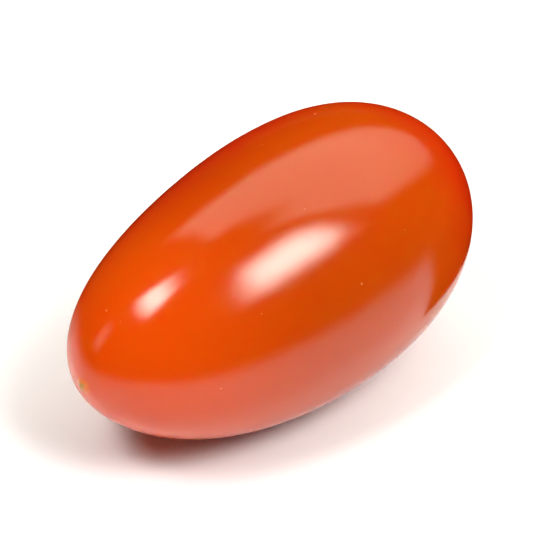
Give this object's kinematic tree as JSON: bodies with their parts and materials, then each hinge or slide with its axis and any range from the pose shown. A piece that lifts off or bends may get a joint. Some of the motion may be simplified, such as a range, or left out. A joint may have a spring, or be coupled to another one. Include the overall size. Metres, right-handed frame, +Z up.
{
  "type": "mini plum tomato",
  "caption": "Ripe mini plum tomato, a smooth orange-red egg-shaped fruit with a small stem scar and blossom tip, lying on its side.",
  "frame": {"origin": "on the table, under the middle of the fruit's bounding box", "axes": "+X along the long axis towards the stem end, +Z up from the table"},
  "size_m": [0.0422, 0.024, 0.0237],
  "materials": {
    "skin": "glossy, slightly translucent orange-red skin"
  },
  "bodies": {
    "root": {"tomato": "skin"}
  },
  "joints": []
}
